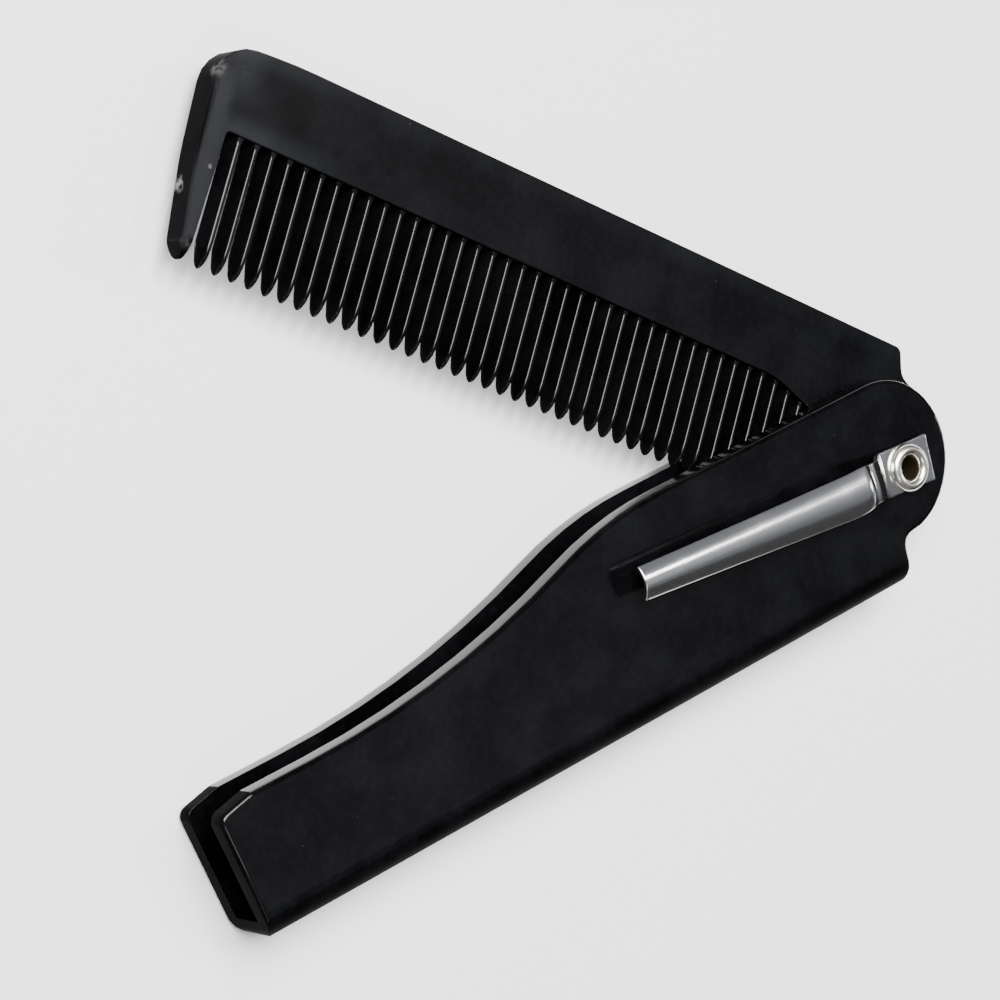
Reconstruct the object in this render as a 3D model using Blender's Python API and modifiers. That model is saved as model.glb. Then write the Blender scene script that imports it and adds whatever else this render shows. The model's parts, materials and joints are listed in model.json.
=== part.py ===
"""Folding pocket comb, half open, lying on its back cheek with the spring clip uppermost.

A fine-toothed blade folds into a channel handle and turns on a tubular eyelet. The eyelet also
holds a flat spring clip on the handle's upper cheek. Metres, +Z up. X runs along the handle's
back towards the pivot, Y towards the open side of the channel.
"""

from math import acos, atan2, ceil, cos, degrees, pi, radians, sin, sqrt

import bmesh
import bpy
from mathutils import Vector

# The handle: two cheeks joined by a web along the back. Places are measured from the pivot
HANDLE_THICKNESS = 0.0076
SLOT_WIDTH = 0.0038
WEB_THICKNESS = 0.00185
BACK_Y = -0.0111
BACK_ROUNDING = 0.0030
FREE_END_BACK_X = -0.0845
FREE_END_BACK_RADIUS = 0.0013
FREE_END_RIM_X = -0.0860
FREE_END_RIM_Y = 0.00125
FREE_END_RIM_RADIUS = 0.0011
RIM_LOW_Y = 0.0021
RIM_HIGH_Y = 0.00955
RIM_FACET_END_X = -0.0821
SWELL_START_X = -0.0750
SWELL_HOLLOW_RADIUS = 0.0986
SWELL_CROWN_RADIUS = 0.0410
LOBE_RADIUS = 0.0080
LOBE_X = -0.0015
HEEL_X = -0.0028
HEEL_RADIUS = 0.0005
HEEL_NOTCH_X = -0.0023
HEEL_NOTCH_Y = -0.0065
HEEL_NOTCH_RADIUS = 0.0013
HANDLE_EDGE = 0.00045

# The blade, in its own frame: the pivot at the origin, the teeth pointing to -Y
BLADE_THICKNESS = 0.0032
SPINE_Y = 0.01207
SPINE_BEND_X = -0.0785
BLADE_END_X = -0.0863
BLADE_END_TOP_Y = 0.01145
BLADE_CORNER_RADIUS = 0.0037
ROOT_Y = 0.0039
ROOT_FALL_X = -0.0172
ROOT_END_X = -0.0121
ROOT_END_Y = 0.0024
HUB_X = -0.0006
HUB_Y = 0.00075
HUB_RADIUS = 0.00795
SHOULDER_X = -0.0022
SHOULDER_NOTCH_X = -0.00115
SHOULDER_NOTCH_Y = 0.0093
BLADE_EDGE = 0.0003
BLADE_OPENED_DEG = 39.7

# The teeth: a hexagon in section, widest at the mould's parting line
TOOTH_COUNT = 39
TOOTH_PITCH = 0.00181
FIRST_TOOTH_X = -0.0817
TOOTH_TIP_Y = -0.00825
TOOTH_TAPER_Y = -0.0059
TOOTH_HALF_WIDTH = 0.00066
TOOTH_HALF_DEPTH = 0.0012
RIDGE_HALF_WIDTH = 0.00018
TIP_FLAT = 0.2
ROOT_HALF_WIDTH = 0.00082
ROOT_HALF_DEPTH = 0.00142
ROOT_RIDGE_HALF_WIDTH = 0.00045
ROOT_FLARE = 0.0006

# The guard at the blade's free end, which is as thick as the blade
GUARD_ROOT_X = -0.0834
GUARD_WAIST_X = -0.08365
GUARD_NOSE_Y = -0.0056
GUARD_TIP_X = -0.0839
GUARD_TIP_Y = -0.0082
GUARD_TIP_HALF_WIDTH = 0.00014
GUARD_BACK_X = -0.08568
GUARD_BACK_Y = 0.0010
GUARD_CHEEK_X = -0.0846
GUARD_CHEEK_Y = -0.0068
NOSE_LEAD = 0.0006
NOSE_LEAD_FLARE = 1.12
NOSE_OVERRUN = 1.02
NOSE_WASTE = 0.004
NOSE_CUTTER_WIDTH = 0.0045
NOSE_STEPS = 12

# The spring clip, in its own frame: the eyelet at the origin, the strip running to -X
CLIP_SHEET = 0.0004
CLIP_TURN_DEG = -4.5
CLIP_TAB_END_X = 0.0032
CLIP_STATIONS = (
    # x, half width, height over the cheek, crown of the arch
    (-0.0031, 0.00245, 0.0, 0.0),
    (-0.0037, 0.00245, 0.00010, 0.0),
    (-0.0042, 0.00243, 0.00050, 0.0),
    (-0.0048, 0.00241, 0.00125, 0.00002),
    (-0.0053, 0.00238, 0.00178, 0.00006),
    (-0.0059, 0.00234, 0.00205, 0.00012),
    (-0.0067, 0.00229, 0.00210, 0.00028),
    (-0.0080, 0.00222, 0.00208, 0.00044),
    (-0.0110, 0.00213, 0.00204, 0.00054),
    (-0.0180, 0.00197, 0.00196, 0.00058),
    (-0.0260, 0.00180, 0.00188, 0.00056),
    (-0.0320, 0.00168, 0.00183, 0.00054),
    (-0.0371, 0.00158, 0.00178, 0.00052),
)
CLIP_ROWS = 6

# The tubular eyelet, flanged at both ends
EYELET_RADIUS = 0.00155
EYELET_BORE = 0.00122
FLANGE_RADIUS = 0.0025
FLANGE_HEIGHT = 0.0006
FAR_FLANGE_LEVEL = 0.00015
FAR_FLANGE_HEIGHT = 0.0007
EYELET_SIDES = 28
EYELET_EDGE = 0.0002
EYELET_MOUTH = 0.00034

GAP = 0.0002
HOLE_RADIUS = EYELET_RADIUS + 0.0003
MID_Z = HANDLE_THICKNESS / 2
REACH = 0.01
ARC_STEP_DEG = 18
LOBE_STEPS = 22

PLASTIC_BLACK = (0.004, 0.004, 0.0045, 1)
CLIP_STEEL = (0.78, 0.78, 0.80, 1)
EYELET_NICKEL = (0.72, 0.68, 0.58, 1)


def clear_scene():
    for thing in list(bpy.data.objects):
        bpy.data.objects.remove(thing, do_unlink=True)


def new_collection(name):
    collection = bpy.data.collections.new(name)
    bpy.context.scene.collection.children.link(collection)
    return collection


def new_object(name, mesh, collection):
    thing = bpy.data.objects.new(name, mesh)
    collection.objects.link(thing)
    return thing


def arc(centre_x, centre_y, radius, start_deg, end_deg, steps):
    """Points along an arc, both ends included, as sharp corners of an outline."""
    points = []
    for step in range(steps + 1):
        angle = radians(start_deg + (end_deg - start_deg) * step / steps)
        points.append((centre_x + radius * cos(angle), centre_y + radius * sin(angle), 0.0))
    return points


def rounded(corners):
    """An outline's points, with every (x, y, radius) corner turned into an arc."""
    points = []
    for index, (x, y, radius) in enumerate(corners):
        here = Vector((x, y))
        if radius == 0:
            points.append((x, y))
            continue
        back = Vector(corners[index - 1][:2]) - here
        ahead = Vector(corners[(index + 1) % len(corners)][:2]) - here
        half = back.angle(ahead) / 2
        reach = radius * cos(half) / sin(half)
        centre = here + (back.normalized() + ahead.normalized()).normalized() * radius / sin(half)
        first = here + back.normalized() * reach - centre
        turn = first.angle_signed(here + ahead.normalized() * reach - centre)
        steps = max(2, ceil(degrees(abs(turn)) / ARC_STEP_DEG))
        start = atan2(first.y, first.x)
        for step in range(steps + 1):
            angle = start - turn * step / steps
            points.append((centre.x + radius * cos(angle), centre.y + radius * sin(angle)))
    return points


def plate(name, points, thickness, collection):
    """A flat outline with an even thickness, half of it on each side of its own level."""
    curve = bpy.data.curves.new(name, "CURVE")
    curve.dimensions = "2D"
    curve.fill_mode = "BOTH"
    curve.extrude = thickness / 2
    spline = curve.splines.new("POLY")
    spline.points.add(len(points) - 1)
    for knot, (x, y) in zip(spline.points, points):
        knot.co = (x, y, 0, 1)
    spline.use_cyclic_u = True
    source = new_object(name + "_outline", curve, collection)
    bpy.context.view_layer.update()
    evaluated = source.evaluated_get(bpy.context.evaluated_depsgraph_get())
    mesh = bpy.data.meshes.new_from_object(evaluated)
    tidy = bmesh.new()
    tidy.from_mesh(mesh)
    bmesh.ops.remove_doubles(tidy, verts=tidy.verts, dist=1e-6)
    bmesh.ops.dissolve_limit(tidy, angle_limit=radians(0.5), verts=tidy.verts, edges=tidy.edges)
    bmesh.ops.recalc_face_normals(tidy, faces=tidy.faces)
    tidy.to_mesh(mesh)
    tidy.free()
    result = new_object(name, mesh, collection)
    result.matrix_world = source.matrix_world
    bpy.data.objects.remove(source, do_unlink=True)
    return result


def ease_edges(thing, width):
    """Rounds the long edges of a plate, and leaves the shallow turns of its outline."""
    bevel = thing.modifiers.new("eased_edges", "BEVEL")
    bevel.width = width
    bevel.segments = 2
    bevel.limit_method = "ANGLE"
    bevel.angle_limit = radians(50)


def combine(thing, other, operation):
    boolean = thing.modifiers.new(other.name, "BOOLEAN")
    boolean.operation = operation
    boolean.object = other
    other.hide_render = True
    other.display_type = "WIRE"


def drum(name, radius, low_z, high_z, collection):
    """A round cutter on the pivot's axis."""
    shape = bmesh.new()
    bmesh.ops.create_cone(shape, cap_ends=True, segments=EYELET_SIDES, radius1=radius,
                          radius2=radius, depth=high_z - low_z)
    bmesh.ops.translate(shape, vec=(0, 0, (low_z + high_z) / 2), verts=shape.verts)
    mesh = bpy.data.meshes.new(name)
    shape.to_mesh(mesh)
    shape.free()
    return new_object(name, mesh, collection)


def loft(shape, rings):
    """Adds a closed body through rings with equally many points."""
    loops = [[shape.verts.new(point) for point in ring] for ring in rings]
    count = len(loops[0])
    for first, second in zip(loops, loops[1:]):
        for index in range(count):
            after = (index + 1) % count
            shape.faces.new((first[index], first[after], second[after], second[index]))
    shape.faces.new(reversed(loops[0]))
    shape.faces.new(loops[-1])


def paint(thing, colour, roughness, metallic):
    material = bpy.data.materials.new(thing.name + "_material")
    material.use_nodes = True
    shader = material.node_tree.nodes["Principled BSDF"]
    shader.inputs["Base Color"].default_value = colour
    shader.inputs["Roughness"].default_value = roughness
    shader.inputs["Metallic"].default_value = metallic
    thing.data.materials.append(material)


def swell_points():
    """The rim's S-curve, from the deep part at the pivot down to the shallow free end."""
    both = SWELL_HOLLOW_RADIUS + SWELL_CROWN_RADIUS
    slope = acos(1 - (RIM_HIGH_Y - RIM_LOW_Y) / both)
    crown_x = SWELL_START_X + both * sin(slope)
    crown = arc(crown_x, RIM_HIGH_Y - SWELL_CROWN_RADIUS, SWELL_CROWN_RADIUS,
                90, 90 + degrees(slope), 5)
    hollow = arc(SWELL_START_X, RIM_LOW_Y + SWELL_HOLLOW_RADIUS, SWELL_HOLLOW_RADIUS,
                 degrees(slope) - 90, -90, 7)
    return crown + hollow[1:]


def handle_outline():
    lobe = arc(LOBE_X, RIM_HIGH_Y - LOBE_RADIUS, LOBE_RADIUS, -78, 90, LOBE_STEPS)
    corners = [
        (FREE_END_BACK_X, BACK_Y, FREE_END_BACK_RADIUS),
        (HEEL_X, BACK_Y, HEEL_RADIUS),
        (HEEL_NOTCH_X, HEEL_NOTCH_Y, HEEL_NOTCH_RADIUS),
    ]
    corners += lobe
    corners += swell_points()
    corners += [
        (RIM_FACET_END_X, RIM_LOW_Y, 0.0020),
        (FREE_END_RIM_X, FREE_END_RIM_Y, FREE_END_RIM_RADIUS),
    ]
    return rounded(corners)


def make_channel(cutters):
    """The handle's section along its whole length: a U with a rounded back."""
    half = HANDLE_THICKNESS / 2
    half_slot = SLOT_WIDTH / 2
    top = RIM_HIGH_Y + REACH
    section = rounded([
        (BACK_Y, -half, BACK_ROUNDING),
        (top, -half, 0),
        (top, -half_slot, 0),
        (BACK_Y + WEB_THICKNESS, -half_slot, 0),
        (BACK_Y + WEB_THICKNESS, half_slot, 0),
        (top, half_slot, 0),
        (top, half, 0),
        (BACK_Y, half, BACK_ROUNDING),
    ])
    channel = plate("channel_section", section, 2 * (REACH - FREE_END_RIM_X), cutters)
    channel.rotation_euler = (pi / 2, 0, pi / 2)
    channel.location.z = MID_Z
    return channel


def make_handle(parts, cutters):
    """A moulded channel: the slot leaves two cheeks and the web along the back."""
    handle = plate("handle", handle_outline(), HANDLE_THICKNESS, parts)
    handle.location.z = MID_Z
    ease_edges(handle, HANDLE_EDGE)
    channel = make_channel(cutters)
    combine(handle, channel, "INTERSECT")
    bore = drum("handle_bore_cutter", HOLE_RADIUS, -REACH, HANDLE_THICKNESS + REACH, cutters)
    recess_top = FAR_FLANGE_LEVEL + FAR_FLANGE_HEIGHT + GAP
    recess = drum("flange_recess_cutter", FLANGE_RADIUS + GAP, -REACH, recess_top, cutters)
    for cutter in (bore, recess):
        combine(handle, cutter, "DIFFERENCE")
    paint(handle, PLASTIC_BLACK, 0.18, 0.0)
    return handle, (channel, bore, recess)


def blade_outline():
    """The blade without its teeth. It reaches down the guard, to the guard's rounded nose."""
    hub = arc(HUB_X, HUB_Y, HUB_RADIUS, -138, 72, LOBE_STEPS)
    corners = [(GUARD_ROOT_X, ROOT_Y, 0.0004), (ROOT_FALL_X, ROOT_Y, 0.0080)]
    corners.append((ROOT_END_X, ROOT_END_Y, 0.0015))
    corners += hub
    corners += [
        (SHOULDER_NOTCH_X, SHOULDER_NOTCH_Y, 0.0018),
        (SHOULDER_X, SPINE_Y, 0.0009),
        (SPINE_BEND_X, SPINE_Y, 0.0600),
        (BLADE_END_X, BLADE_END_TOP_Y, BLADE_CORNER_RADIUS),
        (GUARD_BACK_X, GUARD_BACK_Y, 0.0300),
        (GUARD_CHEEK_X, GUARD_CHEEK_Y, 0.0030),
        (GUARD_TIP_X - GUARD_TIP_HALF_WIDTH, GUARD_TIP_Y, 0),
        (GUARD_TIP_X + GUARD_TIP_HALF_WIDTH, GUARD_TIP_Y, 0),
        (GUARD_WAIST_X, GUARD_NOSE_Y, 0.0080),
    ]
    return rounded(corners)


def tooth_ring(x, y, half_width, half_depth, ridge):
    return (
        (x - ridge, y, half_depth),
        (x + ridge, y, half_depth),
        (x + half_width, y, 0),
        (x + ridge, y, -half_depth),
        (x - ridge, y, -half_depth),
        (x - half_width, y, 0),
    )


def root_level(x):
    """How far up the gap next to a tooth reaches: level, then falling towards the hub."""
    if x < ROOT_FALL_X:
        return ROOT_Y
    fall = (x - ROOT_FALL_X) / (ROOT_END_X - ROOT_FALL_X)
    return ROOT_Y + fall * (ROOT_END_Y - ROOT_Y)


def make_teeth(cutters):
    """All the teeth in one body, to be joined to the blade."""
    shape = bmesh.new()
    for number in range(TOOTH_COUNT):
        x = FIRST_TOOTH_X + number * TOOTH_PITCH
        root = root_level(x)
        rings = [
            tooth_ring(x, root + ROOT_FLARE, ROOT_HALF_WIDTH, ROOT_HALF_DEPTH,
                       ROOT_RIDGE_HALF_WIDTH),
            tooth_ring(x, root - ROOT_FLARE, TOOTH_HALF_WIDTH, TOOTH_HALF_DEPTH, RIDGE_HALF_WIDTH),
        ]
        for reach in (0.0, 0.4, 0.7, 0.9, 1.0):
            swell = max(TIP_FLAT, sqrt(1 - reach * reach))
            y = TOOTH_TAPER_Y + reach * (TOOTH_TIP_Y - TOOTH_TAPER_Y)
            ridge = RIDGE_HALF_WIDTH * (0.4 + 0.6 * swell)
            rings.append(tooth_ring(x, y, TOOTH_HALF_WIDTH * swell, TOOTH_HALF_DEPTH * swell, ridge))
        loft(shape, rings)
    bmesh.ops.recalc_face_normals(shape, faces=shape.faces)
    mesh = bpy.data.meshes.new("teeth")
    shape.to_mesh(mesh)
    shape.free()
    return new_object("teeth", mesh, cutters)


def make_guard_nose(cutters):
    """The waste around the guard's nose, which is rounded in its thickness."""
    half = BLADE_THICKNESS / 2
    length = NOSE_OVERRUN * (GUARD_NOSE_Y - GUARD_TIP_Y)
    start = GUARD_NOSE_Y + NOSE_LEAD
    profile = [(start, half * NOSE_LEAD_FLARE)]
    for step in range(1, NOSE_STEPS):
        angle = pi * step / NOSE_STEPS
        profile.append((GUARD_NOSE_Y - length * sin(angle), half * cos(angle)))
    profile += [
        (start, -half * NOSE_LEAD_FLARE),
        (start, -NOSE_WASTE),
        (GUARD_TIP_Y - NOSE_WASTE, -NOSE_WASTE),
        (GUARD_TIP_Y - NOSE_WASTE, NOSE_WASTE),
        (start, NOSE_WASTE),
    ]
    nose = plate("guard_nose_cutter", profile, NOSE_CUTTER_WIDTH, cutters)
    nose.rotation_euler = (pi / 2, 0, pi / 2)
    nose.location.x = GUARD_CHEEK_X
    return nose


def make_blade(parts, cutters):
    """The toothed plate, made in its own frame with the pivot at the origin."""
    blade = plate("comb_blade", blade_outline(), BLADE_THICKNESS, parts)
    ease_edges(blade, BLADE_EDGE)
    nose = make_guard_nose(cutters)
    combine(blade, nose, "DIFFERENCE")
    teeth = make_teeth(cutters)
    combine(blade, teeth, "UNION")
    bore = drum("blade_bore_cutter", HOLE_RADIUS, -BLADE_THICKNESS, BLADE_THICKNESS, cutters)
    combine(blade, bore, "DIFFERENCE")
    paint(blade, PLASTIC_BLACK, 0.18, 0.0)
    return blade, (nose, teeth, bore)


def make_clip(parts, cutters):
    """One strip of spring steel: a flat tab, a doubled bend and a long arched finger."""
    tab = [(CLIP_TAB_END_X, CLIP_STATIONS[0][1], 0.0, 0.0)]
    tab += [(CLIP_TAB_END_X / 2 * side, CLIP_STATIONS[0][1], 0.0, 0.0) for side in (1, 0, -1)]
    stations = tab + list(CLIP_STATIONS)
    shape = bmesh.new()
    bmesh.ops.create_grid(shape, x_segments=len(stations) - 1, y_segments=CLIP_ROWS, size=1)
    for vertex in shape.verts:
        column = round((vertex.co.x + 1) / 2 * (len(stations) - 1))
        x, half_width, height, crown = stations[len(stations) - 1 - column]
        across = vertex.co.y
        lift = height + crown * (1 - across * across)
        vertex.co = (x, across * half_width, HANDLE_THICKNESS + GAP + lift)
    bmesh.ops.recalc_face_normals(shape, faces=shape.faces)
    if sum(face.normal.z for face in shape.faces) < 0:
        bmesh.ops.reverse_faces(shape, faces=shape.faces)
    mesh = bpy.data.meshes.new("pocket_clip")
    shape.to_mesh(mesh)
    shape.free()
    clip = new_object("pocket_clip", mesh, parts)
    sheet = clip.modifiers.new("sheet", "SOLIDIFY")
    sheet.thickness = CLIP_SHEET
    sheet.offset = 1
    sheet.use_even_offset = True
    clip.rotation_euler.z = radians(CLIP_TURN_DEG)
    bore = drum("clip_bore_cutter", HOLE_RADIUS, MID_Z, HANDLE_THICKNESS + REACH, cutters)
    combine(clip, bore, "DIFFERENCE")
    paint(clip, CLIP_STEEL, 0.12, 1.0)
    return clip, (bore,)


def make_eyelet(parts):
    """A tube that is rolled over the clip's tab above and into a recess below."""
    tab_top = HANDLE_THICKNESS + GAP + CLIP_SHEET + GAP
    far_top = FAR_FLANGE_LEVEL + FAR_FLANGE_HEIGHT
    mid = tab_top + FLANGE_HEIGHT / 2
    crest = (EYELET_BORE + FLANGE_RADIUS) / 2
    rolled = []
    for angle_deg in range(60, -91, -30):
        angle = radians(angle_deg)
        rolled.append((crest + (FLANGE_RADIUS - crest) * cos(angle),
                       mid + FLANGE_HEIGHT / 2 * sin(angle)))
    outer = rolled + [
        (EYELET_RADIUS, tab_top),
        (EYELET_RADIUS, far_top),
        (FLANGE_RADIUS - EYELET_EDGE, far_top),
        (FLANGE_RADIUS, far_top - EYELET_EDGE),
        (FLANGE_RADIUS - EYELET_EDGE, FAR_FLANGE_LEVEL),
        (EYELET_BORE + EYELET_MOUTH, FAR_FLANGE_LEVEL),
    ]
    inner = [
        (EYELET_BORE, FAR_FLANGE_LEVEL + EYELET_MOUTH),
        (EYELET_BORE, tab_top),
        (EYELET_BORE + EYELET_MOUTH / 3, tab_top + 0.4 * FLANGE_HEIGHT),
        (EYELET_BORE + EYELET_MOUTH, tab_top + 0.85 * FLANGE_HEIGHT),
    ]
    crown = [(crest, tab_top + FLANGE_HEIGHT)]
    shape = bmesh.new()
    profile = [shape.verts.new((radius, 0, z)) for radius, z in outer + inner + crown]
    for index, vertex in enumerate(profile):
        shape.edges.new((vertex, profile[(index + 1) % len(profile)]))
    mesh = bpy.data.meshes.new("pivot_eyelet")
    shape.to_mesh(mesh)
    shape.free()
    eyelet = new_object("pivot_eyelet", mesh, parts)
    turned = eyelet.modifiers.new("turned", "SCREW")
    turned.axis = "Z"
    turned.angle = 2 * pi
    turned.steps = EYELET_SIDES
    turned.render_steps = EYELET_SIDES
    turned.use_merge_vertices = True
    turned.merge_threshold = 0.000001
    turned.use_smooth_shade = True
    paint(eyelet, EYELET_NICKEL, 0.15, 1.0)
    return eyelet


def new_empty(name, collection):
    empty = bpy.data.objects.new(name, None)
    empty.empty_display_size = REACH
    collection.objects.link(empty)
    return empty


def centre_over_origin(frame, parts):
    """Moves the whole comb so that the middle of its footprint lies over the origin."""
    bpy.context.view_layer.update()
    graph = bpy.context.evaluated_depsgraph_get()
    xs, ys = [], []
    for thing in parts.objects:
        if thing.type != "MESH":
            continue
        evaluated = thing.evaluated_get(graph)
        for vertex in evaluated.data.vertices:
            place = thing.matrix_world @ vertex.co
            xs.append(place.x)
            ys.append(place.y)
    frame.location.x -= (min(xs) + max(xs)) / 2
    frame.location.y -= (min(ys) + max(ys)) / 2


def build():
    clear_scene()
    parts = new_collection("folding_comb")
    cutters = new_collection("cutters")
    frame = new_empty("comb_frame", parts)
    pivot = new_empty("blade_pivot", parts)
    pivot.parent = frame
    pivot.location.z = MID_Z
    pivot.rotation_euler.z = -radians(BLADE_OPENED_DEG)
    handle, handle_cutters = make_handle(parts, cutters)
    blade, blade_cutters = make_blade(parts, cutters)
    clip, clip_cutters = make_clip(parts, cutters)
    eyelet = make_eyelet(parts)
    for thing in (handle, clip, eyelet) + handle_cutters + clip_cutters:
        thing.parent = frame
    for thing in (blade,) + blade_cutters:
        thing.parent = pivot
    centre_over_origin(frame, parts)


build()
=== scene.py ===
import json
from math import cos, pi, radians, sin, tan

import bpy
from mathutils import Matrix, Vector


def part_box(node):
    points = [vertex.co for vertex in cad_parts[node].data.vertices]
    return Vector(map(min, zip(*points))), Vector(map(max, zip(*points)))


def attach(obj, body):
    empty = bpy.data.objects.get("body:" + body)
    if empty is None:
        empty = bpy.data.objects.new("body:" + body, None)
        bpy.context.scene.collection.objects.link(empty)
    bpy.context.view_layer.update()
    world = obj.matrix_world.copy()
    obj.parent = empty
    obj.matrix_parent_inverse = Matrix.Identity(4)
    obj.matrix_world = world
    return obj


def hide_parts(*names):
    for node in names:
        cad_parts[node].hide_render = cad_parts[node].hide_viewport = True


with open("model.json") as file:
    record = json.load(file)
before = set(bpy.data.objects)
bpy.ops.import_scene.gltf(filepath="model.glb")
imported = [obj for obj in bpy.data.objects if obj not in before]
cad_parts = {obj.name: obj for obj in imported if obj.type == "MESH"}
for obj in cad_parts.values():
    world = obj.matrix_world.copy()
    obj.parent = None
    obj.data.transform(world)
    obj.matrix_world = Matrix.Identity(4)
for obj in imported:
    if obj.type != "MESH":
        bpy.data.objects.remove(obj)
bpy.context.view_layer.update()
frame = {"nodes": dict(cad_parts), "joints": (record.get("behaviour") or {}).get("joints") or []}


# The place where the comb lies. A pale matt table top is lit by one large soft light, by small
# strips for the glints on the edges and the metal, and shaded by a black flag at one side. The
# camera looks down past the open side of the handle.

pivot = Vector(frame["joints"][0]["pos_m"])

CAMERA_FROM_PIVOT = Vector((-0.2129, 0.0848, 0.2514))
CAMERA_RIGHT = Vector((0.7534, -0.2988, 0.5857))
CAMERA_FORWARD = Vector((0.5404, -0.2259, -0.8105))
CAMERA_LENS_MM = 119.48
CAMERA_FILM_MM = 36.0

film = bpy.data.cameras.new("camera")
film.lens = CAMERA_LENS_MM
film.sensor_width = CAMERA_FILM_MM
film.clip_start = 0.01
camera = bpy.data.objects.new("camera", film)
bpy.context.scene.collection.objects.link(camera)
back = -CAMERA_FORWARD.normalized()
right = (CAMERA_RIGHT - back * CAMERA_RIGHT.dot(back)).normalized()
turn = Matrix((right, back.cross(right), back)).transposed()
camera.matrix_world = Matrix.Translation(pivot + CAMERA_FROM_PIVOT) @ turn.to_4x4()
bpy.context.scene.camera = camera

TABLE_SIZE = 6.0
STUDIO_COLOUR = (0.93, 0.97, 1.06, 1)
STUDIO_BRIGHTNESS = 0.18


def cover(thing, name, grey, roughness, gloss):
    """Covers a piece of the studio in one even grey."""
    coat = bpy.data.materials.new(name)
    coat.use_nodes = True
    shader = coat.node_tree.nodes["Principled BSDF"]
    shader.inputs["Base Color"].default_value = (grey, grey, grey, 1)
    shader.inputs["Roughness"].default_value = roughness
    shader.inputs["Specular IOR Level"].default_value = gloss
    thing.data.materials.append(coat)


bpy.ops.mesh.primitive_plane_add(size=TABLE_SIZE, location=(0, 0, 0))
table = bpy.context.active_object
table.name = "table_top"
cover(table, "pale_table_top", 0.9, 0.9, 0.0)

studio = bpy.data.worlds.new("studio")
studio.use_nodes = True
background = studio.node_tree.nodes["Background"]
background.inputs["Color"].default_value = STUDIO_COLOUR
background.inputs["Strength"].default_value = STUDIO_BRIGHTNESS
bpy.context.scene.world = studio


def softbox(name, direction, wide_deg, high_deg, brightness):
    """A panel of soft light, one metre off in the given direction and facing the comb."""
    lamp = bpy.data.lights.new(name, "AREA")
    lamp.shape = "RECTANGLE"
    lamp.size = 2 * tan(radians(wide_deg / 2))
    lamp.size_y = 2 * tan(radians(high_deg / 2))
    lamp.energy = brightness * pi * lamp.size * lamp.size_y
    holder = bpy.data.objects.new(name, lamp)
    bpy.context.scene.collection.objects.link(holder)
    way = Vector(direction).normalized()
    across = Vector((0, 0, 1)).cross(way).normalized()
    turn = Matrix((across, way.cross(across), way)).transposed()
    holder.matrix_world = Matrix.Translation(way) @ turn.to_4x4()


softbox("back_softbox", (-0.12, 0.46, 0.88), 44, 34, 24.0)
softbox("right_strip", (0.87, -0.20, 0.45), 7, 7, 30.0)
softbox("left_strip", (-0.32, -0.40, 0.86), 16, 12, 6.0)
softbox("sheen_panel", (0.38, -0.10, 0.92), 36, 34, 0.24)
softbox("clip_strip", (0.50, 0.13, 0.855), 7, 6, 70.0)

FLAG_WAY = Vector((0.58, -0.72, 0.36))
FLAG_DISTANCE = 0.6
FLAG_SIZE = 0.36
bpy.ops.mesh.primitive_plane_add(size=FLAG_SIZE, location=FLAG_WAY * FLAG_DISTANCE,
                                 rotation=FLAG_WAY.to_track_quat("Z", "Y").to_euler())
flag = bpy.context.active_object
flag.name = "black_flag"
cover(flag, "black_flag_cloth", 0.01, 1.0, 0.5)


# The handle. One piece moulded in black plastic: two cheeks and a web, with small rounded edges.
# Its cheeks are polished, and the back and the free end are as they left the mould. Pocket wear
# has left fine scuffs, and a little dust lies on it.

WELD = 0.000002
FLAT_TURN_DEG = 0.4
HANDLE_EDGE = 0.00022
EDGE_SEGMENTS = 3
EDGE_TURN_DEG = 50
SMOOTH_TURN_DEG = 60


def select_only(piece):
    """Selects one piece and nothing else."""
    for thing in bpy.context.selected_objects:
        thing.select_set(False)
    piece.select_set(True)
    bpy.context.view_layer.objects.active = piece


def finished_copy(node, name):
    """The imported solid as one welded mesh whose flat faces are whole, ready for its edges."""
    piece = bpy.data.objects.new(name, frame["nodes"][node].data.copy())
    bpy.context.scene.collection.objects.link(piece)
    select_only(piece)
    bpy.ops.object.mode_set(mode="EDIT")
    bpy.ops.mesh.select_all(action="SELECT")
    bpy.ops.mesh.remove_doubles(threshold=WELD)
    bpy.ops.mesh.dissolve_limited(angle_limit=radians(FLAT_TURN_DEG))
    bpy.ops.object.mode_set(mode="OBJECT")
    piece.data.materials.clear()
    return piece


def ease(piece, width, wanted=None):
    """Rounds the sharp edges of a piece, or those of them that are wanted."""
    select_only(piece)
    bpy.ops.object.mode_set(mode="EDIT")
    bpy.ops.mesh.select_mode(type="EDGE")
    bpy.ops.mesh.select_all(action="DESELECT")
    bpy.ops.mesh.edges_select_sharp(sharpness=radians(EDGE_TURN_DEG))
    bpy.ops.object.mode_set(mode="OBJECT")
    for edge in piece.data.edges:
        one, two = (piece.data.vertices[index].co for index in edge.vertices)
        edge.select = edge.select and (wanted is None or wanted((one + two) / 2))
    bpy.ops.object.mode_set(mode="EDIT")
    bpy.ops.mesh.bevel(offset=width, segments=EDGE_SEGMENTS, clamp_overlap=wanted is None)
    bpy.ops.mesh.select_mode(type="VERT")
    bpy.ops.object.mode_set(mode="OBJECT")


def shade(piece, angle_deg):
    """Smooth shading in which the flat faces stay flat right up to their rounded edges."""
    select_only(piece)
    bpy.ops.object.shade_smooth_by_angle(angle=radians(angle_deg))
    weights = piece.modifiers.new("flat_faces", "WEIGHTED_NORMAL")
    weights.keep_sharp = True
    weights.weight = 100
    bpy.ops.object.modifier_apply(modifier=weights.name)


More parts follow.
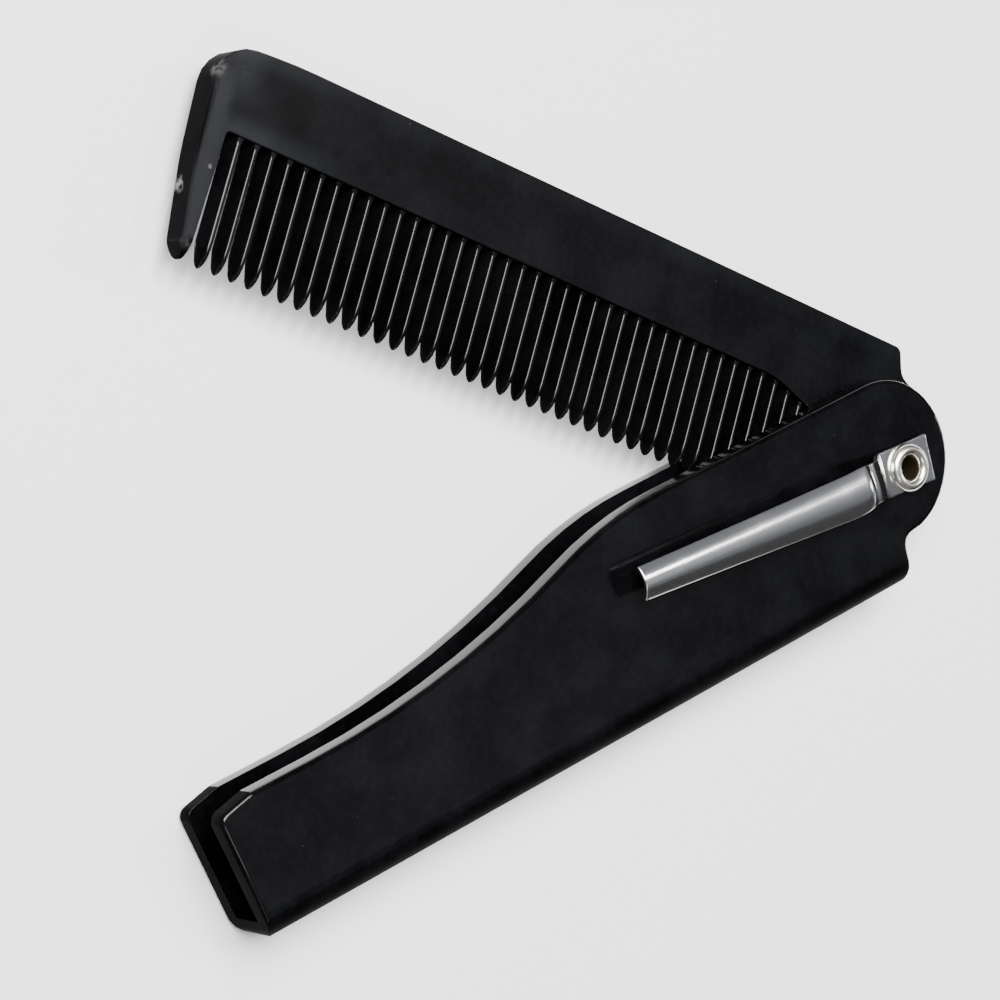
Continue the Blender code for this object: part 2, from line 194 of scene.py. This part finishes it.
class Shade:
    """A socket in a material. Arithmetic on it adds Math nodes, and node() makes any other."""

    def __init__(self, material, socket=None):
        self.material = material
        self.socket = socket

    def node(self, kind, settings, values, output=0):
        made = self.material.node_tree.nodes.new("ShaderNode" + kind)
        for name, setting in settings.items():
            setattr(made, name, setting)
        for name, value in values.items():
            if isinstance(value, Shade):
                self.material.node_tree.links.new(value.socket, made.inputs[name])
            else:
                made.inputs[name].default_value = value
        return Shade(self.material, made.outputs[output])

    def maths(self, operation, first, second):
        return self.node("Math", {"operation": operation}, {0: first, 1: second})

    def __add__(self, other):
        return self.maths("ADD", self, other)

    __radd__ = __add__

    def __sub__(self, other):
        return self.maths("SUBTRACT", self, other)

    def __rsub__(self, other):
        return self.maths("SUBTRACT", other, self)

    def __mul__(self, other):
        return self.maths("MULTIPLY", self, other)

    __rmul__ = __mul__

    def between(self, low, high):
        """0 below low, 1 above high and a smooth step between them."""
        return self.node("MapRange", {"interpolation_type": "SMOOTHSTEP"},
                         {"Value": self, "From Min": low, "From Max": high})

    def feed(self, shader, name):
        """Links it to an input of a shader."""
        self.material.node_tree.links.new(self.socket, shader.inputs[name])


def new_material(name):
    """A new material, its shader, and the Shade that makes its nodes."""
    material = bpy.data.materials.new(name)
    material.use_nodes = True
    return material, material.node_tree.nodes["Principled BSDF"], Shade(material)


PLASTIC_BLACK = (0.0008, 0.0008, 0.0010, 1)
PLASTIC_BLOOM = (0.0034, 0.0035, 0.0040, 1)
# A paler colour painted on the blade as sheen, where its rounded edges would catch light.
PLASTIC_PAINTED_SHEEN = (0.0125, 0.0130, 0.0145, 1)
PLASTIC_DUST = (0.20, 0.19, 0.18, 1)
DUST_STRENGTH = 0.08
GLOSS_INDEX = 1.36
POLISHED_GLOSS = 0.5
POLISHED_ROUGHNESS = 0.11
DULL_GLOSS = 0.01
DULL_ROUGHNESS = 0.42


def black_plastic(name, gloss, roughness, wear=None):
    """Black plastic with a cloudy bloom, hairline scuffs and fine dust, and the painted sheen and
    rubs given.
    """
    material, shader, make = new_material(name)
    place = make.node("TexCoord", {}, {}, "Object")
    along = make.node("Mapping", {}, {"Vector": place, "Scale": (1.0, 16.0, 1.0)})
    hairlines = make.node("TexNoise", {}, {"Vector": along, "Scale": 210.0, "Detail": 6.0,
                                           "Roughness": 0.75})
    clouds = make.node("TexNoise", {}, {"Vector": place, "Scale": 150.0, "Detail": 3.0,
                                        "Roughness": 0.6})
    mottle = make.node("TexNoise", {}, {"Vector": place, "Scale": 1500.0, "Detail": 2.0})
    patches = make.node("TexNoise", {}, {"Vector": place, "Scale": 120.0, "Detail": 2.0})
    scuffs = hairlines.between(0.58, 0.80) * patches.between(0.48, 0.68)
    specks = make.node("TexVoronoi", {"feature": "F1"}, {"Vector": place, "Scale": 650.0})
    rare = make.node("TexNoise", {}, {"Vector": place, "Scale": 330.0, "Detail": 1.0})
    dust = (1 - specks.between(0.02, 0.07)) * rare.between(0.62, 0.66)
    bloom = clouds.between(0.35, 0.70) * 0.7 + mottle.between(0.4, 0.7) * 0.3
    shader.inputs["IOR"].default_value = GLOSS_INDEX
    shader.inputs["Specular IOR Level"].default_value = gloss
    plastic = make.node("Mix", {"data_type": "RGBA"},
                        {0: bloom, 6: PLASTIC_BLACK, 7: PLASTIC_BLOOM}, 2)
    pale = dust * DUST_STRENGTH
    if wear:
        painted_sheen, rubbed = wear(make, place)
        # The first mask from the wear function is painted sheen, mixed into the colour as a paler
        # tone.
        plastic = make.node("Mix", {"data_type": "RGBA"},
                            {0: painted_sheen * (0.7 + clouds * 0.6), 6: plastic, 7: PLASTIC_PAINTED_SHEEN}, 2)
        pale = pale + rubbed * mottle.between(0.38, 0.62)
    make.node("Mix", {"data_type": "RGBA"}, {0: pale, 6: plastic, 7: PLASTIC_DUST},
              2).feed(shader, "Base Color")
    (roughness + clouds * 0.05 + scuffs * 0.08 + dust * 0.3).feed(shader, "Roughness")
    height = hairlines * 0.6 + clouds * 1.2 + mottle * 0.25
    make.node("Bump", {}, {"Strength": 0.07, "Distance": 0.0002, "Height": height}) \
        .feed(shader, "Normal")
    return material


def two_plastics(piece, name, is_dull, wear=None):
    """Polished plastic all over, and dull plastic on the faces that the polishing wheel missed."""
    for finish, gloss, roughness in (("_polished", POLISHED_GLOSS, POLISHED_ROUGHNESS),
                                     ("_dull", DULL_GLOSS, DULL_ROUGHNESS)):
        piece.data.materials.append(black_plastic(name + finish, gloss, roughness, wear))
    for face in piece.data.polygons:
        face.material_index = 1 if is_dull(face) else 0


HANDLE_POLISH_END = -0.0431
FREE_END_LEAN = 0.6
BACK_TURN = -0.3
RIM_TURN = 0.1
RIM_LEAN_LEAST, RIM_LEAN_MOST = 0.5, 0.98
BACK_SWELL = 0.00035
BACK_REACH = 0.008


def dull_on_handle(face):
    """The back with its rounding, the moulded free end and the small round along the rim."""
    lean = abs(face.normal.z)
    if face.normal.y < BACK_TURN:
        return True
    if face.center.x < HANDLE_POLISH_END:
        return lean < FREE_END_LEAN
    return face.normal.y > RIM_TURN and RIM_LEAN_LEAST < lean < RIM_LEAN_MOST


handle = finished_copy("handle", "moulded_handle")

# The back stands a little fuller than in the solid.
back_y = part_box("handle")[0].y
for vertex in handle.data.vertices:
    vertex.co.y -= BACK_SWELL * max(0.0, 1 - (vertex.co.y - back_y) / BACK_REACH)

ease(handle, HANDLE_EDGE)
two_plastics(handle, "handle_plastic", dull_on_handle)
shade(handle, SMOOTH_TURN_DEG)
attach(handle, "handle_body")
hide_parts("handle")


# The blade. A comb moulded in the same black plastic: a flat spine, a guard at the free end and
# fine teeth whose ridges and tips are slightly rounded. It turns in the handle's slot.

BLADE_TURN = radians(-39.7)
TEETH = 39
TOOTH_PITCH = 0.00181
FIRST_TOOTH_X = -0.0817
ROOT_Y = 0.0039
FLANK_LEAN = 0.42
GUARD_ROOT_X = -0.0832
GUARD_FACE_X = -0.0835
GUARD_FACE_LEAN = 0.97
GUARD_NOSE_Y = -0.0064
RIDGE_EDGE = 0.00011
RIDGE_LOW_Y, RIDGE_HIGH_Y = -0.0068, 0.0035
RIDGE_LEVEL = 0.0009
FAR_RIDGE_SWELL = 0.00016
FIRST_TOOTH_SWELL = 0.0003
BLADE_RUBS = (
    # middle, radius, strength
    ((-0.02778, 0.02743, 0.00300), 0.0011, 0.9),
    ((-0.02154, 0.03603, 0.00500), 0.0012, 0.30),
    ((-0.02556, 0.02823, 0.00540), 0.0003, 0.5),
    ((-0.03020, 0.02290, 0.00500), 0.0007, 0.12),
)


def step(value, low, high):
    """A smooth step from 0 at low to 1 at high."""
    part = min(1.0, max(0.0, (value - low) / (high - low)))
    return part * part * (3 - 2 * part)


def dull_on_blade(face):
    """The sides of the guard, its nose and the flanks of the teeth."""
    middle = face.center
    slope = abs(face.normal.z)
    if middle.x < FIRST_TOOTH_X - TOOTH_PITCH / 2:
        on_guard = slope < GUARD_FACE_LEAN or middle.y < GUARD_NOSE_Y
        return on_guard and middle.x < GUARD_FACE_X
    return slope < FLANK_LEAN and middle.y < ROOT_Y


def blade_painted_sheen_and_rubs(make, place):
    """Painted sheen along the free end, the tooth roots and the spine's corner, and a few rubbed
    spots.
    """
    lengthwise = make.node("Mapping", {}, {"Vector": place, "Rotation": (0, 0, -BLADE_TURN),
                                           "Location": into_blade.translation})
    x = make.node("SeparateXYZ", {}, {"Vector": lengthwise}, "X")
    y = make.node("SeparateXYZ", {}, {"Vector": lengthwise}, "Y")
    z = make.node("SeparateXYZ", {}, {"Vector": lengthwise}, "Z")
    fading = 1 - x.between(-0.0840, -0.0660)
    band = x.between(-0.0858, -0.0852) * (1 - x.between(-0.0848, -0.0832)) \
        * (1 - y.between(0.0060, 0.0100))
    roots = x.between(-0.0850, -0.0828) * (1 - y.between(0.0040, 0.0066)) * fading
    spine = y.between(0.0098, 0.0118) * (0.25 + 0.75 * fading)
    corner = y.between(0.0050, 0.0095) * (1 - x.between(-0.0834, -0.0806))
    # These bands are painted sheen, standing in for the light that rounded edges catch.
    painted_sheen = (band + roots * 0.85 + spine * 0.55 + corner * 0.60) * z.between(0.0010, 0.0015)
    rubbed = 0
    for spot, radius, strength in BLADE_RUBS:
        away = make.node("VectorMath", {"operation": "DISTANCE"}, {0: place, 1: spot}, "Value")
        rubbed = rubbed + (1 - away.between(radius * 0.2, radius)) * strength
    return painted_sheen, rubbed


into_blade = Matrix.Rotation(-BLADE_TURN, 4, "Z") @ Matrix.Translation(-pivot)
blade = finished_copy("comb_blade", "moulded_blade")
blade.data.transform(into_blade)

# The far ridges are a little wider than the near ones, and the first tooth is a little thicker.
for vertex in blade.data.vertices:
    number = round((vertex.co.x - FIRST_TOOTH_X) / TOOTH_PITCH)
    aside = vertex.co.x - FIRST_TOOTH_X - number * TOOTH_PITCH
    if 0 <= number < TEETH and aside < 0 and RIDGE_LOW_Y < vertex.co.y < RIDGE_HIGH_Y:
        if vertex.co.z < -RIDGE_LEVEL:
            vertex.co.x -= FAR_RIDGE_SWELL
        elif number == 0 and vertex.co.z < RIDGE_LEVEL:
            vertex.co.x -= FIRST_TOOTH_SWELL

ease(blade, RIDGE_EDGE, lambda middle: middle.x > GUARD_ROOT_X)
two_plastics(blade, "blade_plastic", dull_on_blade, blade_painted_sheen_and_rubs)
blade.data.transform(into_blade.inverted())
shade(blade, SMOOTH_TURN_DEG)
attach(blade, "blade_body")
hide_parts("comb_blade")


# The pocket clip. A strip of plated spring steel, pressed in one blow: a flat tab under the
# eyelet, a doubled bend with rounded shoulders, and a long finger arched across its width.

CLIP_TURN = radians(-4.5)
SHEET = 0.0004
SHEARED_EDGE = 0.00009
CORNER_TURN_DEG = 60
METAL_SMOOTH_DEG = 40
HOLE_RADIUS = 0.0016
HOLE_SIDES = 64
PUNCH_LENGTH = 0.004
CLIP_PLAN = (
    # x, half width towards the rim, half width towards the back
    (0.0033, 0.00262, 0.00225),
    (-0.0032, 0.00248, 0.00222),
    (-0.0038, 0.00244, 0.00205),
    (-0.0050, 0.00240, 0.00172),
    (-0.0062, 0.00236, 0.00160),
    (-0.0070, 0.00233, 0.00172),
    (-0.0080, 0.00224, 0.00197),
    (-0.0090, 0.00214, 0.00208),
    (-0.0102, 0.00208, 0.00210),
    (-0.0180, 0.00188, 0.00191),
    (-0.0260, 0.00170, 0.00170),
    (-0.0320, 0.00158, 0.00157),
    (-0.0371, 0.00148, 0.00146),
)
BEND_FOOT = -0.0033
BEND_TOP = -0.0062
FINGER_RISE = 0.0021
FINGER_END = -0.0371
FINGER_DROOP = 0.0003
ARCH = 0.00058
ARCH_START = -0.0066
ARCH_FULL = -0.0077
NECK_ARCH = 0.00016
NECK_LENGTH = 0.002
EDGE_LEAN = 0.60
FOLD_SKEW = 0.05
FOLD_FLARE = 0.3
# Near-black matt colour painted into the bend's folds as shade.
PAINTED_FOLD_SHADE = (0.008, 0.0075, 0.007, 1)
CLIP_COLUMNS = 220
CLIP_ROWS = 20


def widths(x):
    """Both half widths of the strip at x, from its plan."""
    for (x1, rim1, back1), (x2, rim2, back2) in zip(CLIP_PLAN, CLIP_PLAN[1:]):
        if x >= x2:
            part = min(1.0, (x1 - x) / (x1 - x2))
            return rim1 + part * (rim2 - rim1), back1 + part * (back2 - back1)
    return CLIP_PLAN[-1][1:]


tab_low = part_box("pocket_clip")[0].z
bpy.ops.mesh.primitive_grid_add(x_subdivisions=CLIP_COLUMNS, y_subdivisions=CLIP_ROWS, size=2)
clip = bpy.context.active_object
clip.name = "spring_clip"
for vertex in clip.data.vertices:
    x = CLIP_PLAN[0][0] + (FINGER_END - CLIP_PLAN[0][0]) * (1 - vertex.co.x) / 2
    across = vertex.co.y
    towards_rim, towards_back = widths(x)
    half_width = towards_rim if across > 0 else towards_back
    droop = FINGER_DROOP * (BEND_TOP - x) / (BEND_TOP - FINGER_END) if x < BEND_TOP else 0.0
    rise = FINGER_RISE * (1 - step(x, BEND_TOP, BEND_FOOT)) - droop
    arch = ARCH * (1 - step(x, ARCH_FULL, ARCH_START))
    neck = 1 - step(x, BEND_FOOT, BEND_FOOT + NECK_LENGTH)
    arch += NECK_ARCH * step(x, ARCH_FULL, ARCH_START) * neck
    vertex.co = (x, across * half_width, tab_low + rise + arch * (1 - across * across))
select_only(clip)
for kind, name, values in (
        ("SOLIDIFY", "sheet", {"thickness": SHEET, "offset": 1.0, "use_even_offset": True}),
        ("BEVEL", "sheared_edge", {"width": SHEARED_EDGE, "segments": EDGE_SEGMENTS,
                                   "limit_method": "ANGLE",
                                   "angle_limit": radians(CORNER_TURN_DEG)})):
    modifier = clip.modifiers.new(name, kind)
    for setting, value in values.items():
        setattr(modifier, setting, value)
    bpy.ops.object.modifier_apply(modifier=name)
bpy.ops.mesh.primitive_cylinder_add(vertices=HOLE_SIDES, radius=HOLE_RADIUS, depth=PUNCH_LENGTH,
                                    location=(0, 0, tab_low))
punch = bpy.context.active_object
hole = clip.modifiers.new("eyelet_hole", "BOOLEAN")
hole.object = punch
hole.operation = "DIFFERENCE"
hole.solver = "EXACT"
select_only(clip)
bpy.ops.object.modifier_apply(modifier=hole.name)
bpy.data.objects.remove(punch)
into_clip = Matrix.Rotation(-CLIP_TURN, 4, "Z") @ Matrix.Translation((-pivot.x, -pivot.y, 0))
clip.data.transform(into_clip.inverted())


def plated_metal(name, colour, worn_colour, roughness, wear, painted_shade=None):
    """Bright plating with drawn lines in it, duller patches where fingers have worn it, and any
    painted shade given.
    """
    material, shader, make = new_material(name)
    place = make.node("TexCoord", {}, {}, "Object")
    along = make.node("Mapping", {}, {"Vector": place, "Rotation": (0, 0, -CLIP_TURN),
                                      "Location": into_clip.translation})
    drawn = make.node("Mapping", {}, {"Vector": along, "Scale": (1.0, 22.0, 22.0)})
    lines = make.node("TexNoise", {}, {"Vector": drawn, "Scale": 150.0, "Detail": 4.0})
    patches = make.node("TexNoise", {}, {"Vector": place, "Scale": 240.0, "Detail": 4.0})
    worn = patches.between(0.48, 0.72)
    shader.inputs["Metallic"].default_value = 1.0
    metal = make.node("Mix", {"data_type": "RGBA"}, {0: worn, 6: colour, 7: worn_colour}, 2)
    rough = roughness + worn * wear + lines * 0.03
    metal.feed(shader, "Base Color")
    rough.feed(shader, "Roughness")
    make.node("Bump", {}, {"Strength": 0.03, "Distance": 0.0001, "Height": lines + patches}) \
        .feed(shader, "Normal")
    # Painted shade: a matt near-black shader is mixed in where the given mask says.
    if painted_shade:
        painted_shade_amount = painted_shade(make, along) * (0.75 + patches * 0.5)
        matt = make.node("BsdfPrincipled", {}, {"Base Color": PAINTED_FOLD_SHADE, "Roughness": 0.9,
                                                "Specular IOR Level": 0.0})
        make.node("MixShader", {}, {0: painted_shade_amount, 1: Shade(material, shader.outputs[0]), 2: matt}) \
            .feed(material.node_tree.nodes["Material Output"], "Surface")
    return material


def fold_painted_shade(make, along):
    """Painted shade in the two folds of the bend, which lie a little askew across the strip."""
    x = make.node("SeparateXYZ", {}, {"Vector": along}, "X")
    y = make.node("SeparateXYZ", {}, {"Vector": along}, "Y")
    skewed = x + y * FOLD_SKEW
    first = skewed.between(-0.00725, -0.0071) * (1 - skewed.between(-0.0068, -0.0066))
    flared = skewed + y * FOLD_FLARE
    second = skewed.between(-0.0063, -0.0060) * (1 - flared.between(-0.0043, -0.0036))
    return first * 0.9 + second


clip.data.materials.append(plated_metal("clip_plated_steel", (0.78, 0.78, 0.79, 1),
                                        (0.66, 0.66, 0.67, 1), 0.15, 0.05, fold_painted_shade))
# The strip's side edges get a dark metal colour: painted shade standing in for the dark
# reflections along them.
clip.data.materials.append(plated_metal("clip_edge_painted_dark", (0.16, 0.16, 0.165, 1),
                                        (0.10, 0.10, 0.10, 1), 0.30, 0.10))
for face in clip.data.polygons:
    face.material_index = 1 if abs((into_clip.to_3x3() @ face.normal).y) > EDGE_LEAN else 0
shade(clip, METAL_SMOOTH_DEG)
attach(clip, "handle_body")
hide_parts("pocket_clip")


# The eyelet. A short brass tube, nickel plated, that holds cheeks, blade and clip together. Its
# ends are rolled over by a press into round lips.

eyelet_low, eyelet_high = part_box("pivot_eyelet")
LIP_RADIUS = (eyelet_high.x - eyelet_low.x) / 2
BORE_RADIUS = 0.00118
TUBE_RADIUS = 0.00155
MOUTH_HEIGHT = 0.0002
FAR_LIP_HEIGHT = 0.0007
LIP_STEPS = 16
EYELET_SIDES = 96


def lip(seat, height):
    """Half of a rolled lip's section, from its seat on the tab over its crown into the bore."""
    middle = (LIP_RADIUS + BORE_RADIUS) / 2
    reach = (LIP_RADIUS - BORE_RADIUS) / 2
    return [(middle + reach * cos(pi * number / LIP_STEPS),
             seat + height * sin(pi * number / LIP_STEPS)) for number in range(LIP_STEPS + 1)]


tab_top = tab_low + SHEET
near_lip = lip(tab_top, eyelet_high.z - tab_top)
far_lip = lip(eyelet_low.z + FAR_LIP_HEIGHT, -FAR_LIP_HEIGHT)
section = [(TUBE_RADIUS, tab_top)] + near_lip + list(reversed(far_lip))
section.append((TUBE_RADIUS, eyelet_low.z + FAR_LIP_HEIGHT))

bpy.ops.mesh.primitive_circle_add(vertices=len(section), radius=1)
eyelet = bpy.context.active_object
eyelet.name = "rolled_eyelet"
for vertex, (radius, z) in zip(eyelet.data.vertices, section):
    vertex.co = (pivot.x + radius, pivot.y, z)
select_only(eyelet)
bpy.ops.object.mode_set(mode="EDIT")
bpy.ops.mesh.select_all(action="SELECT")
bpy.ops.mesh.spin(steps=EYELET_SIDES, angle=2 * pi, center=(pivot.x, pivot.y, 0), axis=(0, 0, 1))
bpy.ops.mesh.select_all(action="SELECT")
bpy.ops.mesh.remove_doubles(threshold=WELD)
bpy.ops.mesh.normals_make_consistent(inside=False)
bpy.ops.object.mode_set(mode="OBJECT")
eyelet.data.materials.append(plated_metal("eyelet_nickel", (0.84, 0.80, 0.71, 1),
                                          (0.40, 0.34, 0.23, 1), 0.22, 0.12))
# The bore below its mouth is coloured dark brown: painted shade inside the hollow.
eyelet.data.materials.append(plated_metal("eyelet_bore_painted_shade", (0.11, 0.085, 0.05, 1),
                                          (0.05, 0.04, 0.025, 1), 0.5, 0.1))
for face in eyelet.data.polygons:
    inside = (face.center.xy - pivot.xy).length < BORE_RADIUS * 1.02
    face.material_index = 1 if inside and face.center.z < tab_top + MOUTH_HEIGHT else 0
bpy.ops.object.shade_smooth_by_angle(angle=radians(METAL_SMOOTH_DEG))
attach(eyelet, "handle_body")
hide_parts("pivot_eyelet")
